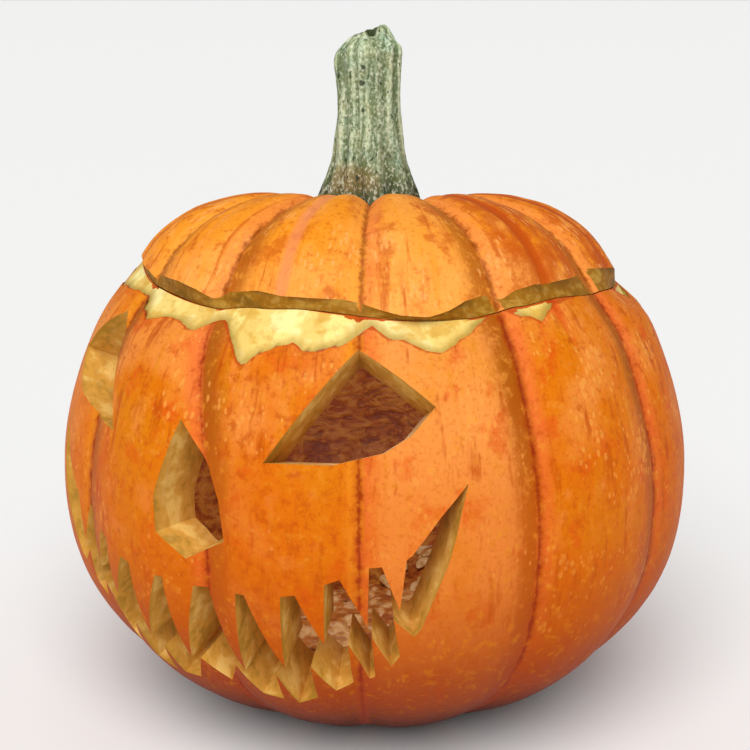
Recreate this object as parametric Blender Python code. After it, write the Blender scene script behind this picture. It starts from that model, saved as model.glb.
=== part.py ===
"""A carved pumpkin lantern: a hollow body with a cut-out face, the lid cut from its crown, and its stem.

The pumpkin stands on z = 0 with its axis on Z, and its face looks towards -Y. An azimuth is in degrees
round the axis, from the middle of the face towards +X. Lengths are in metres, apart from the outlines
below, which are in millimetres.
"""

import math

import bmesh
import bpy
from mathutils import Matrix, Vector

MM = 0.001
NAME = "carved_pumpkin_lantern"

# The uncut pumpkin, from the middle of its base up to the middle of its crown:
# radius, height above the table, and how deep the grooves between the lobes are there.
SKIN_MM = [
    (0, 0, 0), (22, 0, 0), (42, 0, 0), (63, 4, 1.2), (83, 11.5, 2.2), (102, 22.5, 3.0),
    (119, 36.5, 3.6), (133, 53.5, 4.0), (143.2, 72.5, 4.2), (148.8, 93, 4.3), (150.4, 114, 4.4),
    (149.3, 135, 4.5), (145.3, 155, 4.6), (138.5, 175, 4.6), (129, 194.5, 4.3), (116.2, 211, 4.0),
    (103, 228.8, 4.8), (85.5, 240.5, 5.8), (67, 246, 6.2), (50, 247, 6.0), (37, 244.5, 4.8),
    (28, 240.8, 2.8), (20, 239, 1.0), (10, 239, 0), (0, 239, 0),
]
# The azimuths of the grooves, and how far each has wandered from there at the crown. The lobes between
# them are uneven, as they grow.
GROOVES_DEG = [4.5, 30.3, 60.3, 90.3, 119, 149, 180, 211, 242, 272.5, 302.5, 332.5, 364.5]
WANDER_DEG = [-7.5, -0.5, -0.5, 1.5, 1, -2, 2, 0, -2, 1.5, 0, -2, -7.5]
WANDER_HEIGHTS = 130, 215
GROOVE_POWER = 2.6  # how flat a lobe's crest is, and so how narrow its groove
SKIN_RINGS = 28
SKIN_SIDES = 6 * (len(GROOVES_DEG) - 1)

# The crown leans: it swells on one side and sags on the other, between these heights and radii.
SWELL = 0.0055
SAG = 0.0135
SWELL_AZIMUTH = math.radians(33)
LEAN_HEIGHTS = 0.212, 0.240
LEAN_RADII = 0.022, 0.045

# The scooped hollow
WALL = 0.025
HOLLOW_RINGS = 20
HOLLOW_SIDES = 48

# The cut that frees the lid: a seat sloping down into the hollow, and the lid's steep side above it.
# The rind is pared off the body's edge outside the cut, which leaves a slope of bare flesh.
CUT_RADIUS = 0.1118
CUT_HEIGHT = 0.2100
SEAT_SLOPE = 0.70
LID_FLARE = 0.05  # how far the lid's side leans out for each unit of height
PARED_SLOPE = 0.76  # how far the pared edge falls for each unit of radius
CUT_TILT = math.radians(-2.5)  # the knife went round a little aslant
CUT_TILT_AZIMUTH = math.radians(33)
CUT_PIVOT = Vector((0, 0, 0.160))
CUT_SIDES = 72
GAP = 0.0004

# The face, as azimuth and height on the skin. The mouth's two halves mirror each other.
CARVE_CENTRE = Vector((0, 0, 0.117))  # the knife points here, so each hole narrows inwards
CARVE_OUT = 1.25
CARVE_IN = 0.50
RIGHT_EYE = [(29.7, 200.5), (43, 178.2), (38.7, 167.7), (34.4, 161.5), (26, 156.5), (14.8, 155.7)]
LEFT_EYE = [(-32, 201.5), (-18, 156), (-27, 157.5), (-35.5, 162.5), (-40, 168.5), (-44.5, 179)]
NOSE = [(-2.4, 168), (4.3, 151.4), (7, 138.3), (8.4, 121.5), (0.8, 110.2), (-5, 119.7), (-5.6, 135)]
MOUTH_AZIMUTH = 3
MOUTH_UPPER_HALF = [
    (1.3, 98), (5.9, 58.7), (7.2, 99.6), (8.8, 99.6), (14.4, 66), (15, 101.3), (17.3, 102.5),
    (21.6, 79.5), (21.9, 107.4), (24.3, 109.5), (28.6, 87), (28.9, 114.5), (30.9, 115.4),
    (33.7, 96.6), (34.7, 119), (35.5, 120.6), (39.9, 135.9), (44.5, 148.4),
]
MOUTH_LOWER_HALF = [
    (43.2, 137.3), (42.2, 126.3), (41, 115.5), (38.8, 100.8), (37.1, 87.9), (36.1, 84.3),
    (32.8, 91.8), (33.9, 74.1), (32.6, 68.4), (29.3, 82.5), (29.9, 61.2), (28.9, 59), (25.4, 78.8),
    (25.9, 56.3), (22.7, 52.5), (18.9, 67.5), (19.1, 48.5), (14.9, 43.2), (12.3, 60.8), (12, 44.9),
    (7.5, 45.2), (3.8, 59.5), (0, 46.4),
]

# The stem: the radius and height of its outline, from its foot up to the cut end.
STEM_MM = [
    (0, 239.4), (25, 239.4), (25, 242.5), (23.2, 248), (20.2, 256), (17.8, 264), (16, 278), (15.1, 290),
    (15.7, 303), (16.3, 312), (15.2, 317), (10.4, 320.4), (5.5, 321.4), (3.5, 316), (0, 316),
]
STEM_OFFSET = 0.003
STEM_AZIMUTH = math.radians(-57)
STEM_RIBS = 9
STEM_SIDES = 4 * STEM_RIBS
SOCKET_RADIUS = 0.0254  # the shallow hollow in the crown that the stem's foot stands in
SOCKET_HEIGHT = 0.2390
STEM_RIB_DEPTH = 0.08  # as a share of the radius
STEM_TOP_SLOPE = 0.35
STEM_SLOPE_AZIMUTH = math.radians(-60)
STEM_SLANT_HEIGHTS = 0.280, 0.316  # the slant of the cut end grows between these

# Colours as linear RGB, then roughness
RIND = (0.79, 0.21, 0.02), 0.42
LID_RIND = (0.83, 0.30, 0.04), 0.42
STEM_GREEN = (0.30, 0.36, 0.20), 0.80


def clear_scene():
    for obj in list(bpy.data.objects):
        bpy.data.objects.remove(obj, do_unlink=True)


def new_collection(name):
    collection = bpy.data.collections.new(name)
    bpy.context.scene.collection.children.link(collection)
    return collection


def new_object(name, bm, collection):
    """Closes a bmesh into an object of this collection."""
    bmesh.ops.recalc_face_normals(bm, faces=bm.faces)
    mesh = bpy.data.meshes.new(name)
    bm.to_mesh(mesh)
    bm.free()
    obj = bpy.data.objects.new(name, mesh)
    collection.objects.link(obj)
    return obj


def hide_cutter(obj):
    obj.hide_render = True
    obj.display_type = "WIRE"


def add_boolean(obj, operation, other):
    modifier = obj.modifiers.new(f"{operation.lower()} {other.name}", "BOOLEAN")
    modifier.operation = operation
    modifier.solver = "EXACT"
    modifier.object = other


def set_material(obj, name, finish):
    colour, roughness = finish
    material = bpy.data.materials.new(name)
    material.use_nodes = True
    shader = material.node_tree.nodes["Principled BSDF"]
    shader.inputs["Base Color"].default_value = (*colour, 1)
    shader.inputs["Roughness"].default_value = roughness
    shader.inputs["Metallic"].default_value = 0
    obj.data.materials.append(material)


def smoothstep(low, high, value):
    share = min(max((value - low) / (high - low), 0), 1)
    return share * share * (3 - 2 * share)


def along(knots, share):
    """The point at this share of the way along a smooth line through the knots, and its direction."""
    place = min(max(share, 0), 1) * (len(knots) - 1)
    first = min(int(place), len(knots) - 2)
    u = place - first
    a, b, c, d = (Vector(knots[min(max(first + k, 0), len(knots) - 1)]) for k in (-1, 0, 1, 2))
    point = b + 0.5 * u * ((c - a) + u * ((2 * a - 5 * b + 4 * c - d) + u * (3 * b - a - 3 * c + d)))
    slope = 0.5 * ((c - a) + u * (2 * (2 * a - 5 * b + 4 * c - d) + 3 * u * (3 * b - a - 3 * c + d)))
    return point, slope


def polar(radius, azimuth, height):
    return Vector((radius * math.sin(azimuth), -radius * math.cos(azimuth), height))


def lobe_place(turn, height):
    """The azimuth at this share of a turn, in equal lobes, and how near it is to a groove, 0 to 1."""
    place = (turn % 1) * (len(GROOVES_DEG) - 1)
    lobe = int(place)
    across = place - lobe
    wander = smoothstep(*WANDER_HEIGHTS, height)
    low, high = (GROOVES_DEG[k] + wander * WANDER_DEG[k] for k in (lobe, lobe + 1))
    return math.radians(low + across * (high - low)), abs(2 * across - 1)


def flesh_point(share, turn, depth):
    """A point this deep under the skin, at this share of the way up it. Only the skin itself is grooved."""
    (radius, height, groove), (out, up, _) = along(SKIN_MM, share)
    azimuth, nearness = lobe_place(turn, height)
    length = math.hypot(out, up)
    inward = depth / MM if depth else groove * nearness**GROOVE_POWER
    radius = max(radius - inward * up / length, 0) * MM
    height = max(height + inward * out / length, 0) * MM
    lean = math.cos(azimuth - SWELL_AZIMUTH)
    lean *= smoothstep(*LEAN_HEIGHTS, height + depth) * smoothstep(*LEAN_RADII, radius)
    return polar(radius, azimuth, height + lean * (SWELL if lean > 0 else SAG))


def pumpkin_form(name, sides, rings, depth, collection):
    """A sphere drawn out to the pumpkin's form, at this depth under the skin."""
    bm = bmesh.new()
    bmesh.ops.create_uvsphere(bm, u_segments=sides, v_segments=rings, radius=1)
    for vert in bm.verts:
        share = math.acos(min(max(-vert.co.z, -1), 1)) / math.pi
        turn = round(math.atan2(vert.co.x, -vert.co.y) / math.tau * sides) / sides
        vert.co = flesh_point(share, turn, depth)
    return new_object(name, bm, collection)


def spin_whole(bm, outline, steps):
    """Turns an outline, drawn at +X, once round the axis."""
    bmesh.ops.spin(
        bm, geom=outline, axis=(0, 0, 1), cent=(0, 0, 0), angle=math.tau, steps=steps, use_merge=True
    )
    bmesh.ops.remove_doubles(bm, verts=bm.verts, dist=1e-6)


def turned_cutter(name, outline, collection):
    """A closed outline of (radius, height), its ends on the axis, turned and then tilted as the cut is."""
    bm = bmesh.new()
    verts = [bm.verts.new((radius, 0, height)) for radius, height in outline]
    edges = [bm.edges.new(pair) for pair in zip(verts, verts[1:])]
    spin_whole(bm, verts + edges, CUT_SIDES)
    tilt = Matrix.Rotation(CUT_TILT, 4, polar(1, CUT_TILT_AZIMUTH, 0))
    bmesh.ops.transform(bm, matrix=tilt, verts=bm.verts, space=Matrix.Translation(-CUT_PIVOT))
    cutter = new_object(name, bm, collection)
    hide_cutter(cutter)
    return cutter


def above_the_seat(collection):
    """What is taken off the body: all that is over the lid's seat and outside the pared edge."""
    far, top = 0.200, 0.300
    outline = [
        (0, CUT_HEIGHT - CUT_RADIUS * SEAT_SLOPE),
        (CUT_RADIUS, CUT_HEIGHT),
        (far, CUT_HEIGHT - (far - CUT_RADIUS) * PARED_SLOPE),
        (far, top),
        (0, top),
    ]
    return turned_cutter("cut_above_seat", outline, collection)


def lid_zone(collection):
    """What is kept of the pumpkin as its lid: the seat's cone, clear of the body, and the steep side."""
    top = 0.300
    radius = CUT_RADIUS - GAP
    outline = [
        (0, CUT_HEIGHT + GAP - radius * SEAT_SLOPE),
        (radius, CUT_HEIGHT + GAP),
        (radius + (top - CUT_HEIGHT) * LID_FLARE, top),
        (0, top),
    ]
    return turned_cutter("keep_lid", outline, collection)


def skin_radius(height_mm):
    """The radius of the lobes' crests at this height, on the sides of the pumpkin."""
    low, high = 0.1, 0.8
    for _ in range(30):
        middle = (low + high) / 2
        if along(SKIN_MM, middle)[0][1] < height_mm:
            low = middle
        else:
            high = middle
    return along(SKIN_MM, low)[0][0]


def carving_cutter(name, outline, collection):
    """A closed outline of (azimuth, height), cut through the wall towards the middle of the pumpkin."""
    rays = [
        polar(skin_radius(height) * MM, math.radians(azimuth), height * MM) - CARVE_CENTRE
        for azimuth, height in outline
    ]
    bm = bmesh.new()
    verts = [bm.verts.new((-ray.x / ray.y, 0, -ray.z / ray.y)) for ray in rays]
    bm.faces.new(verts)
    bmesh.ops.triangulate(bm, faces=bm.faces)
    for vert, ray in zip(verts, rays):
        vert.co = CARVE_CENTRE + CARVE_OUT * ray
    grown = bmesh.ops.extrude_face_region(bm, geom=bm.faces[:], use_keep_orig=True)
    inner = [item for item in grown["geom"] if isinstance(item, bmesh.types.BMVert)]
    shrink = CARVE_IN / CARVE_OUT
    bmesh.ops.scale(
        bm, vec=(shrink, shrink, shrink), verts=inner, space=Matrix.Translation(-CARVE_CENTRE)
    )
    cutter = new_object(name, bm, collection)
    hide_cutter(cutter)
    return cutter


def mirrored(outline):
    return [(-azimuth, height) for azimuth, height in reversed(outline)]


def face_cutters(collection):
    """The eyes, the nose and the toothed mouth."""
    right_half = MOUTH_UPPER_HALF + MOUTH_LOWER_HALF
    left_half = mirrored(MOUTH_LOWER_HALF)[1:] + mirrored(MOUTH_UPPER_HALF)
    mouth = [(azimuth + MOUTH_AZIMUTH, height) for azimuth, height in right_half + left_half]
    return [
        carving_cutter("cut_eye_right", RIGHT_EYE, collection),
        carving_cutter("cut_eye_left", LEFT_EYE, collection),
        carving_cutter("cut_nose", NOSE, collection),
        carving_cutter("cut_mouth", mouth, collection),
    ]


def make_body(parts, cutters):
    """The hollowed and carved body."""
    body = pumpkin_form("body", SKIN_SIDES, SKIN_RINGS, 0, parts)
    hollow = pumpkin_form("cut_hollow", HOLLOW_SIDES, HOLLOW_RINGS, WALL, cutters)
    hide_cutter(hollow)
    for cutter in [hollow, above_the_seat(cutters), *face_cutters(cutters)]:
        add_boolean(body, "DIFFERENCE", cutter)
    set_material(body, "pumpkin_rind", RIND)
    return hollow


def stem_socket(collection):
    depth = 0.020
    bm = bmesh.new()
    bmesh.ops.create_cone(
        bm, cap_ends=True, segments=STEM_SIDES, radius1=SOCKET_RADIUS, radius2=SOCKET_RADIUS, depth=depth
    )
    bmesh.ops.translate(bm, vec=polar(STEM_OFFSET, STEM_AZIMUTH, SOCKET_HEIGHT + depth / 2), verts=bm.verts)
    cutter = new_object("cut_stem_socket", bm, collection)
    hide_cutter(cutter)
    return cutter


def make_lid(parts, cutters, hollow):
    """The crown of the same pumpkin, cut free and scooped out underneath."""
    lid = pumpkin_form("lid", SKIN_SIDES, SKIN_RINGS, 0, parts)
    add_boolean(lid, "INTERSECT", lid_zone(cutters))
    add_boolean(lid, "DIFFERENCE", hollow)
    add_boolean(lid, "DIFFERENCE", stem_socket(cutters))
    set_material(lid, "pumpkin_rind_lid", LID_RIND)


def make_stem(parts):
    """The ribbed, woody stem, cut off at a slant, with a pit where its pith dried out."""
    bm = bmesh.new()
    verts = [bm.verts.new((radius * MM, 0, height * MM)) for radius, height in STEM_MM]
    edges = [bm.edges.new(pair) for pair in zip(verts, verts[1:])]
    spin_whole(bm, verts + edges, STEM_SIDES)
    axis = polar(STEM_OFFSET, STEM_AZIMUTH, 0)
    for vert in bm.verts:
        azimuth = math.atan2(vert.co.x, -vert.co.y)
        radius = math.hypot(vert.co.x, vert.co.y)
        rib = 1 - STEM_RIB_DEPTH * (0.5 - 0.5 * math.cos(STEM_RIBS * azimuth))
        slant = STEM_TOP_SLOPE * radius * math.cos(azimuth - STEM_SLOPE_AZIMUTH)
        slant *= smoothstep(*STEM_SLANT_HEIGHTS, vert.co.z)
        vert.co = axis + polar(radius * rib, azimuth, vert.co.z - slant)
    stem = new_object("stem", bm, parts)
    set_material(stem, "pumpkin_stem", STEM_GREEN)


def main():
    clear_scene()
    parts = new_collection(NAME)
    cutters = new_collection("cutters")
    hollow = make_body(parts, cutters)
    make_lid(parts, cutters, hollow)
    make_stem(parts)


main()
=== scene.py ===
"""The looks of a carved pumpkin lantern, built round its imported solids.

Metres, +Z up, the carved face towards -Y. An azimuth is an angle round the axis, from the middle of the face
towards +X. Outlines, depths and the places that the finishes follow are in millimetres.
"""

import functools
import math
import random

import bpy
from mathutils import Matrix, Vector, noise
from mathutils.kdtree import KDTree


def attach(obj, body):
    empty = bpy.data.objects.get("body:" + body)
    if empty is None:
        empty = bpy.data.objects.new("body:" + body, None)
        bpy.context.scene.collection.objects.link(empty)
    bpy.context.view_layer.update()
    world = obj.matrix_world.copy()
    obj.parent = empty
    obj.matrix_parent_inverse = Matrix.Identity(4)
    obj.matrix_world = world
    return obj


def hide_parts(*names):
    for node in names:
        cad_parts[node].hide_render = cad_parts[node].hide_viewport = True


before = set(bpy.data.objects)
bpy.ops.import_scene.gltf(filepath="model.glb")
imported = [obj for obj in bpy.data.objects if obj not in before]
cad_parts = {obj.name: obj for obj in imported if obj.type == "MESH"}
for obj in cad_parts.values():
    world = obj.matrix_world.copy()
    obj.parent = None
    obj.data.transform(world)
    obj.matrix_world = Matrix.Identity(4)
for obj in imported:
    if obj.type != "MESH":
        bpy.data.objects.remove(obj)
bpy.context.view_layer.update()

# ----------------------------------------
# The body: a field pumpkin scooped out to a 25 mm wall. Its face is sawn through with straight knife cuts
# that all point to the middle, and the rind is torn off round the opening, which leaves a ragged edge.

MM = 0.001

# The uncut pumpkin from the middle of its base up to the middle of its crown:
# radius, height above the table, and how deep the grooves between the lobes are there
SKIN_MM = [
    (0, 0, 0), (22, 0, 0), (42, 0, 0), (63, 4, 1.2), (83, 11.5, 2.2), (102, 22.5, 3.0),
    (119, 36.5, 3.6), (133, 53.5, 4.0), (143.2, 72.5, 4.2), (148.8, 93, 4.3), (150.4, 114, 4.4),
    (149.3, 135, 4.5), (145.3, 155, 4.6), (138.5, 175, 4.6), (129, 194.5, 4.3), (116.2, 211, 4.0),
    (103, 228.8, 4.8), (85.5, 240.5, 5.8), (67, 246, 6.2), (50, 247, 6.0), (37, 244.5, 4.8),
    (28, 240.8, 2.8), (20, 239, 1.0), (10, 239, 0), (0, 239, 0),
]
# The grooves' azimuths, and how far each has wandered from there at the crown
GROOVES_DEG = [4.5, 30.3, 60.3, 90.3, 119, 149, 180, 211, 242, 272.5, 302.5, 332.5, 364.5]
WANDER_DEG = [-7.5, -0.5, -0.5, 1.5, 1, -2, 2, 0, -2, 1.5, 0, -2, -7.5]
WANDER_HEIGHTS = 130, 215
GROOVE_POWER = 2.6
LOBES = len(GROOVES_DEG) - 1
# Each lobe's colour, from ruddy at -1 to pale at 1, from the first groove on: on the body and at the crown
# On the body the second lobe, which faces the light, is pale partly in its own tone and partly as a painted
# highlight.
LOBE_TONES = [-0.25, 1, -0.05, -0.3, 0.3, -0.4, 0.5, -0.2, 0.2, -0.5, 0.3, 0]
CROWN_TONES = [0, 0.45, -1, -0.9, 0.1, -0.5, 0.3, -0.7, 0.2, -0.4, -0.1, 0]
# The tints to the left and right of each groove, and how wide each runs: the ochre-brown one is painted shade
# down a groove's flank, and the salmon one painted light down a flank
GROOVE_TINTS = [
    ("salmon", "ochre"), ("golden", "salmon"), ("ochre", "salmon"), ("ochre", "salmon"), ("ochre", "golden"),
    ("salmon", "ochre"), ("ochre", "salmon"), ("golden", "ochre"), ("ochre", "salmon"), ("salmon", "ochre"),
    ("ochre", "salmon"), ("golden", "ochre"),
]
TINT_WIDTHS = {"ochre": 20, "salmon": 12, "golden": 9}
# Shallow creases within the lobes of the crown: azimuth, depth, and whether pale, 1, or dark, -1
CREASES = [
    (-16, 0.5, 1), (12.3, 1.2, 1), (46, 0.3, -1), (73.5, 1.3, -1), (104, 0.9, -1), (134, 0.8, 1),
    (166, 1.1, -1), (196, 0.6, 1), (226, 1.0, -1), (258, 0.8, 1), (288, 1.1, -1), (317, 0.7, -1),
]
CREASE_WIDTH = 3.2
CREASE_HEIGHTS = 180, 222

# The crown swells on one side and sags on the other, between these heights and radii.
SWELL = 0.0055
SAG = 0.0135
SWELL_AZIMUTH = math.radians(33)
LEAN_HEIGHTS = 0.212, 0.240
LEAN_RADII = 0.022, 0.045

FINENESS = 1
SKIN_SIDES = int(24 * FINENESS) * LOBES
SKIN_RINGS = int(128 * FINENESS)
SKIN_INSET = 0.5  # keeps the uneven skin inside the solid's outline
UNEVEN = 0.45
UNEVEN_SIZE = 45
UNEVEN_HEIGHTS = 1, 14
WALL = 25
HOLLOW_SIDES = int(168 * FINENESS)
HOLLOW_RINGS = int(80 * FINENESS)
FIBRE_RELIEF = 1.1
FIBRES_ROUND, FIBRES_UP = 9, 7
# The shares of the way up the skin between which its side stands, and how often a search halves them
SIDE_SHARES = 0.1, 0.8
HALVINGS = 24

# The knife's way round the lid, in a frame of its own that tilts a little
CUT_RADIUS = 111.8
CUT_HEIGHT = 210
SEAT_SLOPE = 0.70
PARED_SLOPE = 0.76
PARED_EDGE = 2.5
PARED_ABOVE = 0.150
GAP = 0.4
TILT = math.radians(-2.5)
TILT_PIVOT = Vector((0, 0, 0.160))
CUT_TILT = Matrix.Translation(TILT_PIVOT) @ Matrix.Rotation(
    TILT, 4, Vector((math.sin(SWELL_AZIMUTH), -math.cos(SWELL_AZIMUTH), 0))
) @ Matrix.Translation(-TILT_PIVOT)
CUT_SIDES = 360
# How the rim waves: azimuth, and height over the mean
RIM_WAVE = [
    (-48, 1), (-28, -3.5), (-6, -5), (6, -1.5), (17, 0.3), (43, -1.8), (52, -1), (64, 3), (75, 5),
    (90, 3.5), (113, 0.7), (140, -2), (165, 1.5), (195, -1.5), (225, 2), (260, -2), (285, 0.5),
]
# The torn edge of the rind: azimuth and height on the skin
TORN_EDGE = [
    (-42.8, 207.9), (-33.3, 210), (-21.1, 202.1), (-13.9, 207.9), (-9.2, 205.7), (-7.3, 202.1),
    (-3.8, 203.9), (-0.3, 207.5), (1.6, 204.9), (6.8, 193.4), (8.4, 191.3), (10, 195.2), (14.3, 199.5),
    (17.2, 201.3), (18.9, 199.1), (22.1, 198.3), (26.9, 201.5), (29.8, 204.3), (31.8, 208.2),
    (34.8, 204.3), (37.6, 205.7), (40.8, 202.1), (44.7, 198.9), (48, 202.8), (50.8, 206.1),
    (52.8, 209.4), (60, 210.9), (63, 209.6), (67.8, 206.4), (73.9, 212), (80, 214), (92, 215),
    (104, 213), (112, 204), (121, 208), (130, 200), (138, 206), (150, 203), (158, 209), (169, 201),
    (177, 205), (186, 197), (196, 204), (205, 208), (214, 201), (226, 205), (234, 209), (243, 200),
    (254, 204), (262, 208), (271, 199), (280, 205), (291, 209), (301, 203), (310, 206),
]
TORN_DEPTH = 1.3
TORN_STEPS = 5
# The height on the skin where the bared flesh starts, and how far below the torn edge it can lie
TORN_TOP = 216
TORN_BAND = 20
TORN_JAGS, JAGS_A_RADIAN = 1.3, 22
PARING_MARKS, MARKS_A_TURN = 0.5, 70
PARING_REACH = 4
# How the cut keeps clear: of the rim at each step, of the rind beside the rim, and of the torn edge
RIM_STEP = 0.2
CLEAR_OF_RIND = 0.5
EDGE_OUT, EDGE_UP = 0.3, 1.5
# How far out and up the cutters reach into the air
AIR_RADIUS, AIR_HEIGHT = 200, 300

# The face, as azimuth and height on the skin. The mouth's two halves mirror each other.
CARVE_CENTRE = Vector((0, 0, 0.117))
CARVE_OUT = 1.25
CARVE_IN = 0.50
# The crest on which the heights of the outlines are measured
FACE_CREST = math.radians(16.5)
RIGHT_EYE = [(29.7, 200.5), (43, 178.2), (38.7, 167.7), (34.4, 161.5), (26, 156.5), (14.8, 155.7)]
LEFT_EYE = [(-32, 201.5), (-18, 156), (-27, 157.5), (-35.5, 162.5), (-40, 168.5), (-44.5, 179)]
NOSE = [(-2.4, 168), (4.3, 151.4), (7, 138.3), (8.4, 121.5), (0.8, 110.2), (-5, 119.7), (-5.6, 135)]
MOUTH_AZIMUTH = 3
MOUTH_UPPER_HALF = [
    (1.3, 98), (5.9, 58.7), (7.2, 99.6), (8.8, 99.6), (14.4, 66), (15, 101.3), (17.3, 102.5),
    (21.6, 79.5), (21.9, 107.4), (24.3, 109.5), (28.6, 87), (28.9, 114.5), (30.9, 115.4),
    (33.7, 96.6), (34.7, 119), (35.5, 120.6), (39.9, 135.9), (44.5, 148.4),
]
MOUTH_LOWER_HALF = [
    (43.2, 137.3), (42.2, 126.3), (41, 115.5), (38.8, 100.8), (37.1, 87.9), (36.1, 84.3),
    (32.8, 91.8), (33.9, 74.1), (32.6, 68.4), (29.3, 82.5), (29.9, 61.2), (28.9, 59), (25.4, 78.8),
    (25.9, 56.3), (22.7, 52.5), (18.9, 67.5), (19.1, 48.5), (14.9, 43.2), (12.3, 60.8), (12, 44.9),
    (7.5, 45.2), (3.8, 59.5), (0, 46.4),
]


def smoothstep(low, high, value):
    share = min(max((value - low) / (high - low), 0), 1)
    return share * share * (3 - 2 * share)


def polar(radius, azimuth, height):
    return Vector((radius * math.sin(azimuth), -radius * math.cos(azimuth), height))


def azimuth_of(point):
    return math.atan2(point.x, -point.y)


def along(knots, share):
    """The point at this share of the way along a smooth line through the knots, and its direction."""
    place = min(max(share, 0), 1) * (len(knots) - 1)
    first = min(int(place), len(knots) - 2)
    u = place - first
    a, b, c, d = (Vector(knots[min(max(first + k, 0), len(knots) - 1)]) for k in (-1, 0, 1, 2))
    point = b + 0.5 * u * ((c - a) + u * ((2 * a - 5 * b + 4 * c - d) + u * (3 * b - a - 3 * c + d)))
    slope = 0.5 * ((c - a) + u * (2 * (2 * a - 5 * b + 4 * c - d) + 3 * u * (3 * b - a - 3 * c + d)))
    return point, slope


def around(knots, azimuth, eased=False):
    """The value at an azimuth of a closed line through knots of (azimuth, value)."""
    degrees = (math.degrees(azimuth) - knots[0][0]) % 360 + knots[0][0]
    closed = knots + [(knots[0][0] + 360, knots[0][1])]
    for (a, low), (b, high) in zip(closed, closed[1:]):
        if degrees <= b:
            share = (degrees - a) / (b - a)
            return low + (high - low) * (smoothstep(0, 1, share) if eased else share)
    return knots[0][1]


def grooves_at(height):
    """The grooves' azimuths at this height on the uncut pumpkin, in degrees."""
    wander = smoothstep(*WANDER_HEIGHTS, height)
    return [here + wander * drift for here, drift in zip(GROOVES_DEG, WANDER_DEG)]


def lobe_place(azimuth, height):
    """The lobe at this azimuth, how near a groove is, 0 on its crest to 1, and its width in radians."""
    grooves = grooves_at(height)
    degrees = (math.degrees(azimuth) - grooves[0]) % 360 + grooves[0]
    lobe = next((k for k in range(LOBES) if degrees <= grooves[k + 1]), LOBES - 1)
    width = grooves[lobe + 1] - grooves[lobe]
    return lobe, abs(2 * (degrees - grooves[lobe]) / width - 1), math.radians(width)


def even_azimuth(share, turn):
    """The azimuth at this share of a turn, counted in equal lobes, at this share of the way up the skin."""
    grooves = grooves_at(along(SKIN_MM, share)[0][1])
    place = (turn % 1) * LOBES
    low, high = grooves[int(place)], grooves[int(place) + 1]
    return math.radians(low + place % 1 * (high - low))


def crease_at(azimuth, radius, height, tinted=False):
    """How deep the crown's shallow creases are here, in millimetres, the dark ones below zero if tinted."""
    total = 0
    for middle, deep, tint in CREASES:
        off = math.radians((math.degrees(azimuth) - middle + 180) % 360 - 180) * radius
        total += deep * math.exp(-((off / CREASE_WIDTH) ** 2)) * (tint if tinted else 1)
    return total * smoothstep(*CREASE_HEIGHTS, height)


def lean_at(azimuth, radius, height):
    """How far the crown is raised here on its swollen side, or lowered on the other, in metres."""
    lean = math.cos(azimuth - SWELL_AZIMUTH)
    lean *= smoothstep(*LEAN_HEIGHTS, height) * smoothstep(*LEAN_RADII, radius)
    return lean * (SWELL if lean > 0 else SAG)


def flesh_point(share, azimuth, depth):
    """A point this deep under the skin, at this share of the way up it. Only the skin itself is grooved."""
    (radius, height, groove), (out, up, _) = along(SKIN_MM, share)
    length = math.hypot(out, up)
    inward = depth or groove * lobe_place(azimuth, height)[1] ** GROOVE_POWER
    radius = max(radius - inward * up / length, 0) * MM
    height = max(height + inward * out / length, 0) * MM
    return polar(radius, azimuth, height + lean_at(azimuth, radius, height + depth * MM))


def skin_point(share, azimuth):
    """The skin, a little uneven and creased at the crown."""
    point = flesh_point(share, azimuth, 0)
    (radius, height, _), (out, up, _) = along(SKIN_MM, share)
    bump = noise.fractal(point / (UNEVEN_SIZE * MM), 0.9, 2.0, 3) * UNEVEN - SKIN_INSET
    bump -= crease_at(azimuth, radius, height)
    bump *= smoothstep(*UNEVEN_HEIGHTS, height) * MM / math.hypot(out, up)
    return point + polar(bump * up, azimuth, -bump * out)


def share_at(height_mm, azimuth):
    """How far up the side of the skin this height is, at this azimuth."""
    low, high = SIDE_SHARES
    for _ in range(HALVINGS):
        middle = (low + high) / 2
        if flesh_point(middle, azimuth, 0).z < height_mm * MM:
            low = middle
        else:
            high = middle
    return low


def rim_height(azimuth):
    return CUT_HEIGHT + around(RIM_WAVE, azimuth, eased=True)


def pared(point, azimuth):
    """A point of the skin in the cut's frame, brought down to the slope that falls away from the rim."""
    low = CUT_TILT.inverted() @ point
    slope = rim_height(azimuth) * MM - (math.hypot(low.x, low.y) - CUT_RADIUS * MM) * PARED_SLOPE
    over = (low.z - slope) / MM
    if over > PARED_EDGE:
        low.z = slope
    elif over > -PARED_EDGE:
        low.z -= (over + PARED_EDGE) ** 2 / (4 * PARED_EDGE) * MM
    return low


def pared_skin_point(share, azimuth):
    point = skin_point(share, azimuth)
    return CUT_TILT @ pared(point, azimuth) if point.z > PARED_ABOVE else point


def torn_share(azimuth):
    jag = noise.fractal(Vector((math.sin(azimuth), math.cos(azimuth), 0)) * JAGS_A_RADIAN, 0.7, 2.2, 3)
    return share_at(around(TORN_EDGE, azimuth) + TORN_JAGS * jag, azimuth)


def hollow_point(share, turn):
    """The scraped wall, combed into fibres that run round it."""
    azimuth = even_azimuth(share, turn)
    streak = Vector((math.sin(azimuth) * FIBRES_ROUND, math.cos(azimuth) * FIBRES_ROUND, share * FIBRES_UP))
    return flesh_point(share, azimuth, WALL + FIBRE_RELIEF * noise.fractal(streak, 0.9, 2.1, 4))


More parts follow.
